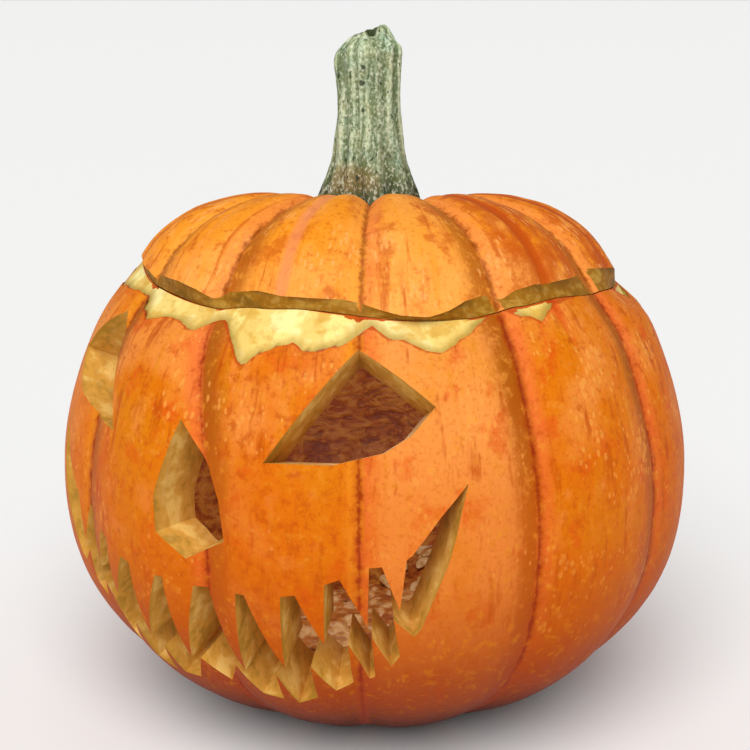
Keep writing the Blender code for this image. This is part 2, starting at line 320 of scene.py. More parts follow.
@functools.cache
def opening_section(turn):
    """The cut top of the body at one azimuth: the seat, the rim, bare flesh out to the rind's torn edge, the
    step there, and round through the air back to the axis."""
    azimuth = turn * math.tau
    torn = torn_share(azimuth)
    top = share_at(TORN_TOP, azimuth)
    deep = TORN_DEPTH + PARING_MARKS * noise.noise(Vector((turn * MARKS_A_TURN, 0, 0)))
    points = [Vector((0, 0, CUT_HEIGHT - CUT_RADIUS * SEAT_SLOPE)) * MM]
    points.append(polar(CUT_RADIUS * MM, azimuth, rim_height(azimuth) * MM))
    for step in range(1, TORN_STEPS + 1):
        low = pared(skin_point(top + (torn - top) * step / TORN_STEPS, azimuth), azimuth)
        reach = math.hypot(low.x, low.y) / MM - CUT_RADIUS
        if reach < RIM_STEP * step:
            reach = RIM_STEP * step
            beside_rim = rim_height(azimuth) - reach * PARED_SLOPE
            low = polar(CUT_RADIUS + reach, azimuth, beside_rim + CLEAR_OF_RIND) * MM
        else:
            low.z -= deep * smoothstep(0, PARING_REACH, reach) * MM
        points.append(low)
    step_top = low.z / MM + TORN_DEPTH + EDGE_UP
    points += [
        polar(CUT_RADIUS + reach + EDGE_OUT, azimuth, step_top) * MM,
        polar(AIR_RADIUS, azimuth, step_top) * MM,
        polar(AIR_RADIUS, azimuth, AIR_HEIGHT) * MM,
        Vector((0, 0, AIR_HEIGHT)) * MM,
    ]
    return [CUT_TILT @ point for point in points]


def drawn_out(name, sides, rings, place_of, finishes):
    """A sphere drawn out to another form. place_of gives a point's place from its shares of the way up and
    of a turn, and the finishes are those of equal bands from the bottom up."""
    bpy.ops.object.select_all(action="DESELECT")
    bpy.ops.mesh.primitive_uv_sphere_add(segments=sides, ring_count=rings, radius=1)
    obj = bpy.context.object
    obj.name = name
    kinds = list(dict.fromkeys(finishes))
    for finish in kinds:
        obj.data.materials.append(finish)
    shares = [math.acos(min(max(-vert.co.z, -1), 1)) / math.pi for vert in obj.data.vertices]
    for face in obj.data.polygons:
        middle = sum(shares[k] for k in face.vertices) / len(face.vertices)
        face.material_index = kinds.index(finishes[int(middle * len(finishes))])
    for vert, share in zip(obj.data.vertices, shares):
        turn = round(math.atan2(vert.co.x, -vert.co.y) / math.tau * sides) % sides / sides
        vert.co = place_of(share, turn)
    return obj


def carving_cutter(outline, finish):
    """A closed outline of (azimuth, height), cut through the wall towards the middle of the pumpkin."""
    rays = []
    for azimuth, height in outline:
        crest = along(SKIN_MM, share_at(height, FACE_CREST))[0][0]
        rays.append(polar(crest, math.radians(azimuth), height) * MM - CARVE_CENTRE)
    bpy.ops.object.select_all(action="DESELECT")
    bpy.ops.mesh.primitive_circle_add(vertices=len(rays), radius=1, fill_type="NGON")
    cutter = bpy.context.object
    cutter.data.materials.append(finish)
    for vert, ray in zip(cutter.data.vertices, rays):
        vert.co = (-ray.x / ray.y, 0, -ray.z / ray.y)
    bpy.ops.object.mode_set(mode="EDIT")
    bpy.ops.mesh.select_all(action="SELECT")
    bpy.ops.mesh.quads_convert_to_tris(ngon_method="BEAUTY")
    bpy.ops.object.mode_set(mode="OBJECT")
    for vert, ray in zip(cutter.data.vertices, rays):
        vert.co = CARVE_CENTRE + CARVE_OUT * ray
    bpy.ops.object.mode_set(mode="EDIT")
    bpy.ops.mesh.extrude_region_move()
    shrink = CARVE_IN / CARVE_OUT
    bpy.ops.transform.resize(value=(shrink, shrink, shrink), center_override=CARVE_CENTRE)
    bpy.ops.mesh.select_all(action="SELECT")
    bpy.ops.mesh.normals_make_consistent(inside=False)
    bpy.ops.object.mode_set(mode="OBJECT")
    return cutter


def mirrored(outline):
    return [(-azimuth, height) for azimuth, height in reversed(outline)]


def select_only(obj):
    bpy.ops.object.select_all(action="DESELECT")
    obj.select_set(True)
    bpy.context.view_layer.objects.active = obj


def cut(obj, operation, cutter, keep=False):
    """A Boolean cut. The cut faces take the cutter's finish."""
    modifier = obj.modifiers.new("cut", "BOOLEAN")
    modifier.operation = operation
    modifier.solver = "EXACT"
    modifier.material_mode = "TRANSFER"
    modifier.object = cutter
    select_only(obj)
    bpy.ops.object.modifier_apply(modifier="cut")
    if not keep:
        bpy.data.objects.remove(cutter, do_unlink=True)


WELD = 0.02 * MM
CUT_EDGE_DEG = 32


def smooth_between_cuts(obj, sharp_deg):
    """Welds the cuts' doubled points, and shades the surface smooth between sharp edges."""
    select_only(obj)
    bpy.ops.object.mode_set(mode="EDIT")
    bpy.ops.mesh.select_all(action="SELECT")
    bpy.ops.mesh.remove_doubles(threshold=WELD)
    bpy.ops.mesh.dissolve_degenerate(threshold=WELD / 2)
    bpy.ops.object.mode_set(mode="OBJECT")
    bpy.ops.object.shade_smooth_by_angle(angle=math.radians(sharp_deg))


def nearest_of(points):
    tree = KDTree(len(points))
    for index, point in enumerate(points):
        tree.insert(point, index)
    tree.balance()
    return tree


def store(obj, names, rows):
    """Stores named values with each of the points."""
    for name, column in zip(names, zip(*rows)):
        obj.data.attributes.new(name, "FLOAT", "POINT").data.foreach_set("value", column)


LINE_STEPS = 240
SKIN_LINE = nearest_of([along(SKIN_MM, step / LINE_STEPS)[0].xy.to_3d() for step in range(LINE_STEPS + 1)])
ROUND = [math.radians(step / 4) for step in range(4 * 360)]
TORN_LINE = nearest_of([pared_skin_point(torn_share(azimuth), azimuth) for azimuth in ROUND])
AXIS_RADIUS = 20
TONE_BLEND = 14
TINT_FULL = 1.5
GRAIN_RADIUS = 150


def write_places(obj, tones):
    """Stores what the finishes follow. In millimetres: the gap to the nearest groove, the depth under the
    skin, how far inside the torn edge a point is, the creases, and the place along the rind's grain. As
    shares: the lobe's tone, partly a painted highlight on the lobe that faces the light, and the tints beside
    the grooves, among them painted shade and painted light on their flanks."""
    rows, grain = [], []
    for vert in obj.data.vertices:
        azimuth, radius, height = azimuth_of(vert.co), math.hypot(vert.co.x, vert.co.y) / MM, vert.co.z / MM
        lobe, nearness, width = lobe_place(azimuth, height)
        gap = (1 - nearness) * width / 2 * max(radius, AXIS_RADIUS)
        level = height - lean_at(azimuth, radius * MM, vert.co.z) / MM
        torn, _, away = TORN_LINE.find(vert.co)
        inside = math.hypot(torn.x, torn.y) / MM > radius and vert.co.z > torn.z - TORN_BAND * MM
        past = (math.degrees(azimuth) - grooves_at(height)[lobe]) % 360 < math.degrees(width) / 2
        beside = GROOVE_TINTS[lobe][1] if past else GROOVE_TINTS[(lobe + 1) % LOBES][0]
        rows.append((
            gap, SKIN_LINE.find((radius, level, 0))[2], away / MM if inside else -away / MM,
            crease_at(azimuth, radius, height, tinted=True), tones[lobe] * smoothstep(0, TONE_BLEND, gap),
            *[smoothstep(reach, TINT_FULL, gap) if tint == beside else 0 for tint, reach in TINT_WIDTHS.items()],
        ))
        grain += polar(GRAIN_RADIUS, azimuth, height)[:]
    store(obj, ("gap", "depth", "bared", "crease", "tone", *TINT_WIDTHS), rows)
    obj.data.attributes.new("grain", "FLOAT_VECTOR", "POINT").data.foreach_set("vector", grain)


def linear(hex_colour):
    """The linear colour of an sRGB hex value."""
    channels = [int(hex_colour[k:k + 2], 16) / 255 for k in (1, 3, 5)]
    return (*[c / 12.92 if c <= 0.04045 else ((c + 0.055) / 1.055) ** 2.4 for c in channels], 1)


def add_node(tree, kind, inputs, out=0, **settings):
    """Adds a shader node with its settings, sets or links its inputs, and returns one of its outputs."""
    new = tree.nodes.new("ShaderNode" + kind)
    for name, value in settings.items():
        setattr(new, name, value)
    for name, value in inputs.items():
        if isinstance(value, bpy.types.NodeSocket):
            tree.links.new(value, new.inputs[name])
        else:
            new.inputs[name].default_value = value
    return new.outputs[out]


def new_finish(name, roughness, specular):
    """A new material, its node tree and shader, and the places that its patterns lie in."""
    material = bpy.data.materials.new(name)
    material.use_nodes = True
    shader = material.node_tree.nodes["Principled BSDF"]
    shader.inputs["Roughness"].default_value = roughness
    shader.inputs["Specular IOR Level"].default_value = specular
    place = add_node(material.node_tree, "TexCoord", {}, out="Object")
    return material, material.node_tree, shader, place


def paint(tree, ground, layers):
    """Lays tones over a ground tone. A layer is (pattern, low, high, strength, tone): none of the tone where
    the pattern is at low, and its full strength at high."""
    colour = linear(ground)
    for pattern, low, high, strength, tone in layers:
        share = add_node(
            tree, "MapRange", {"Value": pattern, "From Min": low, "From Max": high, "To Max": strength},
            interpolation_type="SMOOTHSTEP",
        )
        colour = add_node(tree, "Mix", {0: share, 6: colour, 7: linear(tone)}, out=2, data_type="RGBA")
    return colour


def cover(tree, shader, colour, relief, strength, deep):
    """Gives the shader its colour, and a relief this many millimetres deep."""
    tree.links.new(colour, shader.inputs["Base Color"])
    bump = add_node(tree, "Bump", {"Strength": strength, "Distance": deep * MM, "Height": relief})
    tree.links.new(bump, shader.inputs["Normal"])


def rind_finish(name, tones):
    """Waxy pumpkin rind: orange, deepened towards the base by painted shade and deeper into the grooves, clouded
    and streaked along the lobes, with painted shade down one flank beside a groove and painted light down the
    other, crowds of pale corky flecks, and a soft gloss. The pale of the lobe that faces the light is partly a
    painted highlight."""
    material, tree, shader, place = new_finish(name, 0.55, 0.06)
    grain = add_node(tree, "Attribute", {}, out="Vector", attribute_name="grain")
    height = add_node(tree, "SeparateXYZ", {"Vector": grain}, out="Z")
    gap, bared, crease, lobe_tone, ochre, salmon, golden = (
        add_node(tree, "Attribute", {}, out="Fac", attribute_name=kept)
        for kept in ("gap", "bared", "crease", "tone", "ochre", "salmon", "golden")
    )
    # clouds 50 mm across, crowds of flecks 25 mm, blotches 18 mm, mottles 5 mm and grains 1.8 mm
    clouds, crowds, blotches, mottles, grains = (
        add_node(tree, "TexNoise", {
            "Vector": place, "Scale": 1 / (size * MM), "Detail": detail, "Roughness": broken,
        })
        for size, detail, broken in ((50, 3, 0.5), (25, 2, 0.5), (18, 4, 0.6), (5, 5, 0.65), (1.8, 2, 0.5))
    )
    # streaks 6 mm wide and 30 mm long
    drawn = add_node(tree, "Mapping", {"Vector": grain, "Scale": (1, 1, 0.20)})
    streaks = add_node(tree, "TexNoise", {"Vector": drawn, "Scale": 1 / 6, "Detail": 5, "Roughness": 0.6})
    # corky flecks 3.4 mm apart, a little taller than wide, that grow where they crowd together
    tall = add_node(tree, "Mapping", {"Vector": grain, "Scale": (1, 1, 0.7)})
    spots = add_node(tree, "TexVoronoi", {"Vector": tall, "Scale": 1 / 3.4}, out="Distance")
    grainy_gap = add_node(tree, "Math", {0: grains, 1: 2, 2: gap}, operation="MULTIPLY_ADD")
    flecks, ruddy_mottles, wavy_gap, wavy_bared, wavy_shade_flank, wavy_light_flank, wavy_golden, relief = (
        add_node(tree, "Math", {0: added, 1: share, 2: pattern}, operation="MULTIPLY_ADD")
        for added, share, pattern in (
            (crowds, -1.3, spots), (lobe_tone, 0.12, mottles), (mottles, 4, grainy_gap), (mottles, 3, bared),
            (streaks, 0.8, ochre), (streaks, 0.8, salmon), (streaks, 0.8, golden), (streaks, 1.4, mottles),
        )
    )
    colour = paint(tree, tones["ground"], [
        *[(height, *layer) for layer in tones["rising"]],
        # pale lobes; on the body's lobe that faces the light the pale is partly a painted highlight
        (lobe_tone, 0, 1, 0.80, tones["pale"]),
        (lobe_tone, 0, -1, 0.75, tones["ruddy"]),
        (clouds, 0.50, 0.66, 0.55, tones["pale"]),
        (clouds, 0.48, 0.34, 0.60, tones["gold"]),
        (blotches, 0.54, 0.68, 0.45, tones["pale"]),
        (blotches, 0.46, 0.34, 0.60, tones["ruddy"]),
        (streaks, 0.54, 0.70, 0.50, tones["gold"]),
        (streaks, 0.46, 0.32, 0.60, tones["deep"]),
        # painted shade down one flank of a groove and painted light down the other, and a golden tint on some
        (wavy_shade_flank, 0.45, 1.25, 0.85, tones["ochre"]),
        (wavy_light_flank, 0.45, 1.4, 0.70, tones["salmon"]),
        (wavy_golden, 0.45, 1.3, 0.80, tones["golden"]),
        (ruddy_mottles, 0.54, 0.70, 0.40, tones["pale"]),
        (ruddy_mottles, 0.45, 0.29, 0.40, tones["deep"]),
        (flecks, -0.42, -0.62, 0.60, tones["fleck"]),
        # painted shade, darker down towards the base
        *[(height, *layer) for layer in tones["painted_shade_below"]],
        (mottles, 0.53, 0.68, 0.35, tones["gold"]),
        (flecks, -0.46, -0.68, 0.35, tones["gold"]),
        (ruddy_mottles, 0.46, 0.30, 0.35, tones["mottle"]),
        (streaks, 0.44, 0.30, 0.25, tones["mottle"]),
        (grains, 0.48, 0.30, 0.25, tones["deep"]),
        # painted shade, darkest at the foot
        *[(height, *layer) for layer in tones["foot"]],
        (crease, 0.25, 1, 0.60, tones["crease"]),
        (crease, -0.20, -0.9, 0.80, tones["ruddy"]),
        (crease, -0.75, -1.1, 0.60, tones["deep"]),
        *[(wavy_gap, *layer) for layer in tones["groove"]],
        *[(wavy_bared, *layer) for layer in tones["torn"]],
    ])
    rough = add_node(tree, "MapRange", {"Value": mottles, "To Min": 0.38, "To Max": 0.62})
    tree.links.new(rough, shader.inputs["Roughness"])
    cover(tree, shader, colour, relief, 0.6, 0.8)
    return material


# The rind's tones. Those in lists are layers: from and to, in millimetres, the strength and the tone.
BODY_TONES = {
    "ground": "#de7506", "pale": "#f69a4a", "ruddy": "#d94e0c", "gold": "#dc8604", "deep": "#b04400",
    # The flank tints beside the grooves are painted shade, in dark ochre-brown, and painted light, in salmon.
    "ochre": "#a4540a", "salmon": "#ec7036", "golden": "#ee921e", "fleck": "#ffae58", "crease": "#e88448",
    "mottle": "#bc4c06", "groove": [(7, 3.6, 0.40, "#b04008"), (4.6, 2.6, 0.80, "#8c2406")],
    # The layers at the foot and on the last line are painted shade: darker down towards the base and darkest at
    # the foot.
    "torn": [(0.2, 1.4, 0.75, "#b8400c")], "rising": [], "foot": [(52, 14, 0.95, "#400a00")],
    "painted_shade_below": [(190, 125, 0.45, "#d05c02"), (125, 70, 0.65, "#b04600"), (82, 44, 0.70, "#902e00")],
}


def sawn_flesh_finish():
    """Pumpkin flesh sawn with a knife: dense and butter-yellow, with drag marks, duller near the rind, and
    browner near the hollow."""
    material, tree, shader, place = new_finish("pumpkin_flesh_sawn", 0.8, 0.05)
    depth = add_node(tree, "Attribute", {}, out="Fac", attribute_name="depth")
    clouds = add_node(
        tree, "TexNoise", {"Vector": place, "Scale": 1 / (11 * MM), "Detail": 4, "Roughness": 0.6}
    )
    upright = add_node(tree, "Mapping", {"Vector": place, "Scale": (1, 1, 0.3)})
    drags = add_node(tree, "TexNoise", {"Vector": upright, "Scale": 1 / (5 * MM), "Detail": 4})
    colour = paint(tree, "#d8a044", [
        (clouds, 0.50, 0.64, 0.80, "#f0c870"),
        (clouds, 0.48, 0.36, 0.75, "#b08430"),
        (drags, 0.52, 0.70, 0.25, "#ecc880"),
        (drags, 0.48, 0.32, 0.20, "#9c7838"),
        (depth, 12, 25, 0.40, "#bc7e38"),
        (depth, 2.4, 0.6, 0.70, "#b88a2c"),
    ])
    relief = add_node(tree, "Math", {0: drags, 1: clouds}, operation="ADD")
    cover(tree, shader, colour, relief, 0.6, 0.6)
    return material


def torn_flesh_finish():
    """Flesh where the rind was torn off: moist and pale yellow, with painted olive shade beside the rind, whose
    edge stands over it in a thin red-brown line."""
    material, tree, shader, place = new_finish("pumpkin_flesh_torn", 0.48, 0.2)
    bared = add_node(tree, "Attribute", {}, out="Fac", attribute_name="bared")
    grain = add_node(tree, "Attribute", {}, out="Vector", attribute_name="grain")
    clouds = add_node(
        tree, "TexNoise", {"Vector": place, "Scale": 1 / (18 * MM), "Detail": 4, "Roughness": 0.6}
    )
    crumbs = add_node(tree, "TexNoise", {"Vector": place, "Scale": 1 / (4 * MM), "Detail": 3})
    # the flat strokes of the paring knife, 12 mm wide
    drawn = add_node(tree, "Mapping", {"Vector": grain, "Scale": (1, 1, 0.3)})
    strokes = add_node(tree, "TexVoronoi", {"Vector": drawn, "Scale": 1 / 12}, out="Color")
    wavy = add_node(tree, "Math", {0: clouds, 1: -9, 2: bared}, operation="MULTIPLY_ADD")
    crumbly = add_node(tree, "Math", {0: crumbs, 1: -3, 2: bared}, operation="MULTIPLY_ADD")
    colour = paint(tree, "#f3d274", [
        (strokes, 0.45, 0.75, 0.70, "#ffe98e"),
        (strokes, 0.45, 0.20, 0.60, "#e2b456"),
        (clouds, 0.52, 0.62, 0.80, "#fff0a4"),
        (clouds, 0.47, 0.37, 0.75, "#dca83e"),
        (crumbs, 0.48, 0.34, 0.30, "#cf9c40"),
        # painted shade, olive and tan, beside the rind's edge that stands over the flesh
        (wavy, 0.5, -3.5, 0.70, "#c09a40"),
        (crumbly, 1.2, -1.4, 0.55, "#a08432"),
        (bared, 0.7, 0.1, 0.80, "#a84a14"),
    ])
    relief = add_node(tree, "Math", {0: crumbs, 1: clouds}, operation="ADD")
    cover(tree, shader, colour, relief, 0.6, 0.8)
    return material


def pulp_finish():
    """The scraped inside: orange-brown flesh, wet and torn into swirling fibres with dark hollows."""
    material, tree, shader, place = new_finish("pumpkin_pulp_scraped", 0.45, 0.25)
    squeezed = add_node(tree, "Mapping", {"Vector": place, "Scale": (1, 1, 1.9)})
    # swirls 30 mm across, and fibres of 11 mm
    swirls, fibres = (
        add_node(tree, "TexNoise", {
            "Vector": squeezed, "Scale": 1 / (size * MM), "Detail": 4, "Roughness": broken, "Distortion": twist,
        })
        for size, broken, twist in ((30, 0.5, 2.6), (11, 0.55, 1.6))
    )
    colour = paint(tree, "#ae6222", [
        (swirls, 0.50, 0.60, 0.75, "#c48634"),
        (swirls, 0.48, 0.40, 0.75, "#944822"),
        (fibres, 0.52, 0.62, 0.45, "#d69c48"),
        (fibres, 0.46, 0.39, 0.50, "#682a16"),
    ])
    relief = add_node(tree, "Math", {0: swirls, 1: fibres}, operation="ADD")
    cover(tree, shader, colour, relief, 0.7, 1.2)
    return material


sawn_flesh = sawn_flesh_finish()
body = drawn_out(
    "carved_body", SKIN_SIDES, SKIN_RINGS,
    lambda share, turn: pared_skin_point(share, even_azimuth(share, turn)),
    [rind_finish("pumpkin_rind_waxy", BODY_TONES)],
)
hollow = drawn_out("hollow", HOLLOW_SIDES, HOLLOW_RINGS, hollow_point, [pulp_finish()])
OPENING_BANDS = len(opening_section(0)) - 1
opening = drawn_out(
    "opening", CUT_SIDES, OPENING_BANDS,
    lambda share, turn: opening_section(turn)[round(share * OPENING_BANDS)],
    [sawn_flesh] + [torn_flesh_finish()] * (OPENING_BANDS - 1),
)
cut(body, "DIFFERENCE", hollow, keep=True)
cut(body, "DIFFERENCE", opening)
right_half = MOUTH_UPPER_HALF + MOUTH_LOWER_HALF
left_half = mirrored(MOUTH_LOWER_HALF)[1:] + mirrored(MOUTH_UPPER_HALF)
MOUTH = [(azimuth + MOUTH_AZIMUTH, height) for azimuth, height in right_half + left_half]
for outline in (RIGHT_EYE, LEFT_EYE, NOSE, MOUTH):
    cut(body, "DIFFERENCE", carving_cutter(outline, sawn_flesh))
smooth_between_cuts(body, CUT_EDGE_DEG)
write_places(body, LOBE_TONES)
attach(body, "root")
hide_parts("body")

# ----------------------------------------
# The lid: the crown of the same pumpkin, cut free with the knife held steeply. It rests on a sloping seat in
# the body, and its sawn side shows as a band of olive-yellow flesh under the edge of the rind.

# The lower edge of the lid's rind: azimuth, and height in the cut's frame
LID_EDGE = [
    (-40, 214), (-34, 212.2), (-29.5, 209.6), (-27, 213.2), (-16.5, 214), (-10, 212.5), (-4.5, 209.7),
    (-1, 213.5), (6.6, 216.3), (14, 215.8), (26, 216), (32.7, 213.4), (38, 211.6), (43.5, 211.2),
    (48, 213.6), (52, 216.9), (56.6, 218.4), (61.3, 216.3), (64.6, 219.8), (70.4, 222), (89, 222.5),
    (95, 223.6), (105, 221.4), (116, 217), (121, 219), (135, 215.5), (148, 213), (153, 216), (166, 218),
    (178, 214.5), (183, 216.5), (196, 214), (209, 212.5), (214, 216), (228, 218), (240, 214.5),
    (246, 216.5), (258, 213), (271, 212.5), (276, 215.5), (290, 217), (301, 213.5), (306, 216), (314, 215),
]
EDGE_AIR = 40
SOCKET_RADIUS = 25.4
SOCKET_HEIGHT = 239
SOCKET_DEPTH = 20
STEM_FOOT = polar(3, math.radians(-57), 0) * MM


@functools.cache
def lid_section(turn):
    """What is kept as the lid at one azimuth: from the cone that rests on the seat, up the sawn side to the
    edge of the rind, and round through the air back to the axis."""
    azimuth = turn * math.tau
    inner = polar(CUT_RADIUS - GAP, azimuth, rim_height(azimuth) + GAP) * MM
    level = CUT_TILT @ (polar(CUT_RADIUS, azimuth, around(LID_EDGE, azimuth)) * MM)
    edge = CUT_TILT.inverted() @ skin_point(share_at(level.z / MM, azimuth), azimuth)
    points = [
        Vector((0, 0, CUT_HEIGHT + GAP - CUT_RADIUS * SEAT_SLOPE)) * MM, inner, (inner + edge) / 2, edge,
        edge + polar(EDGE_AIR, azimuth, 0) * MM, polar(AIR_RADIUS, azimuth, AIR_HEIGHT) * MM,
        Vector((0, 0, AIR_HEIGHT)) * MM,
    ]
    return [CUT_TILT @ point for point in points]


def lid_side_finish():
    """The lid's sawn side: the same flesh, drier and duller, olive in the shade of the rind's edge."""
    material, tree, shader, place = new_finish("pumpkin_flesh_dried", 0.6, 0.12)
    depth = add_node(tree, "Attribute", {}, out="Fac", attribute_name="depth")
    flat = add_node(tree, "Mapping", {"Vector": place, "Scale": (1, 1, 2.6)})
    clouds = add_node(
        tree, "TexNoise", {"Vector": flat, "Scale": 1 / (22 * MM), "Detail": 4, "Roughness": 0.6}
    )
    crumbs = add_node(tree, "TexNoise", {"Vector": place, "Scale": 1 / (3 * MM), "Detail": 4})
    colour = paint(tree, "#9c6610", [
        (clouds, 0.52, 0.66, 0.75, "#be9038"),
        (clouds, 0.48, 0.36, 0.85, "#7e560e"),
        (crumbs, 0.50, 0.68, 0.35, "#c8a050"),
        (crumbs, 0.48, 0.34, 0.35, "#745010"),
        (depth, 2.4, 0.4, 0.75, "#684010"),
    ])
    relief = add_node(tree, "Math", {0: crumbs, 1: 0.5, 2: clouds}, operation="MULTIPLY_ADD")
    cover(tree, shader, colour, relief, 0.6, 1.2)
    return material


LID_TONES = {
    "ground": "#fa9c3c", "pale": "#ffae54", "ruddy": "#c04c0c", "gold": "#f59614", "deep": "#bc4e08",
    # The flank tints beside the grooves are painted shade, in dark ochre-brown, and painted light, in salmon.
    "ochre": "#b4600e", "salmon": "#f58e44", "golden": "#fba43a", "fleck": "#ffb972", "crease": "#ec8c5c",
    "mottle": "#c85c10", "groove": [(5.2, 3.0, 0.65, "#883a0a")], "torn": [],
    "rising": [(222, 242, 1, "#f4941e")], "foot": [], "painted_shade_below": [],
}
lid = drawn_out(
    "cut_lid", SKIN_SIDES, SKIN_RINGS, lambda share, turn: skin_point(share, even_azimuth(share, turn)),
    [rind_finish("pumpkin_rind_crown", LID_TONES)],
)
ZONE_BANDS = len(lid_section(0)) - 1
zone = drawn_out(
    "lid_zone", CUT_SIDES, ZONE_BANDS, lambda share, turn: lid_section(turn)[round(share * ZONE_BANDS)],
    [sawn_flesh] + [lid_side_finish()] * (ZONE_BANDS - 1),
)
cut(lid, "INTERSECT", zone)
cut(lid, "DIFFERENCE", hollow)
bpy.ops.object.select_all(action="DESELECT")
bpy.ops.mesh.primitive_cylinder_add(
    vertices=96, radius=SOCKET_RADIUS * MM, depth=SOCKET_DEPTH * MM,
    location=STEM_FOOT + Vector((0, 0, SOCKET_HEIGHT + SOCKET_DEPTH / 2)) * MM,
)
socket = bpy.context.object
bpy.ops.object.transform_apply(location=True, rotation=True, scale=True)
socket.data.materials.append(sawn_flesh)
cut(lid, "DIFFERENCE", socket)
smooth_between_cuts(lid, CUT_EDGE_DEG)
write_places(lid, CROWN_TONES)
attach(lid, "root")
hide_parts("lid")

# ----------------------------------------
# The stem: the pumpkin's dried stalk, woody, with deep ribs that spread into the crown. It was cut from the
# vine at a slant, and its pith has shrunk to a dark pit.

STEM_MM = [
    (0, 239.4), (25, 239.4), (25, 242.5), (23.2, 248), (20.2, 256), (17.8, 264), (16, 278), (15.1, 290),
    (15.7, 303), (16.3, 312), (15.2, 317), (10.4, 320.4), (5.5, 321.4), (3.5, 316), (0, 316),
]
STEM_RIBS = 9
# How far the ribs wander, where they stand straight, and the rise in which they twist by a radian
RIB_WANDER, RIBS_STRAIGHT, RIB_TWIST = 0.35, 280, 340
# How deep the ribs are, as a share of the radius, how much deeper at the foot, and how sharp their furrows
RIB_DEPTH, FOOT_DEEPER, FURROW_POWER = 0.10, 1.3, 1.6
FOOT_HEIGHTS = 272, 242
LUMPS = 0.035
STEM_TOP_SLOPE = 0.35
STEM_SLOPE_AZIMUTH = math.radians(-60)
STEM_SLANT_HEIGHTS = 280, 316
RAGGED, RAGGED_HEIGHTS = 1.6, (308, 318)
# A corner broken off the top, and a notch in its rim
CHIP_DEPTH, CHIP_AZIMUTH, CHIP_RADII, CHIP_HEIGHTS = 6.5, math.radians(118), (8, 15), (302, 314)
NOTCH_DEPTH, NOTCH_AZIMUTH, NOTCH_HEIGHTS = 3.5, math.radians(50), (310, 317)
# The pit of pith in the top, and a brown scab at the foot
PIT_RADII, PIT_HEIGHTS = (8.5, 5), (300, 314)
SCAB_AZIMUTH, SCAB_HEIGHT, SCAB_REACH = math.radians(5), 254, 14
RIB_EDGE_DEG = 60
STEM_SIDES = int(180 * FINENESS)
STEM_RINGS = int(120 * FINENESS)


def rib_at(azimuth, height):
    """How far into a furrow this place on the stem is, 0 to 1. The ribs twist and wander a little."""
    wander = noise.noise(Vector((math.sin(azimuth), math.cos(azimuth), height / 90)) * 1.2)
    twisted = azimuth + RIB_WANDER * wander + (height - RIBS_STRAIGHT) / RIB_TWIST
    return 0.5 - 0.5 * math.cos(STEM_RIBS * twisted)


def stem_point(share, turn):
    azimuth = turn * math.tau
    (radius, height), _ = along(STEM_MM, share)
    foot = smoothstep(*FOOT_HEIGHTS, height)
    lumps = noise.fractal(Vector((math.sin(azimuth) * 3, math.cos(azimuth) * 3, height / 14)), 0.8, 2.0, 4)
    shrink = RIB_DEPTH * (1 + FOOT_DEEPER * foot) * rib_at(azimuth, height) ** FURROW_POWER
    shrink += LUMPS * max(0.5 + 0.5 * lumps, 0)
    slant = STEM_TOP_SLOPE * radius * math.cos(azimuth - STEM_SLOPE_AZIMUTH)
    slant *= smoothstep(*STEM_SLANT_HEIGHTS, height)
    torn = 0.5 + 0.5 * noise.noise(Vector((math.sin(azimuth) * 4, math.cos(azimuth) * 4, radius / 4)))
    slant += RAGGED * torn * smoothstep(*RAGGED_HEIGHTS, height)
    chipped = smoothstep(0.2, 1, math.cos(azimuth - CHIP_AZIMUTH)) * smoothstep(*CHIP_RADII, radius)
    slant += CHIP_DEPTH * chipped * smoothstep(*CHIP_HEIGHTS, height)
    notched = smoothstep(0.9, 1, math.cos(azimuth - NOTCH_AZIMUTH))
    slant += NOTCH_DEPTH * notched * smoothstep(*NOTCH_HEIGHTS, height)
    return STEM_FOOT + polar(max(radius, 0) * (1 - shrink), azimuth, height - slant) * MM


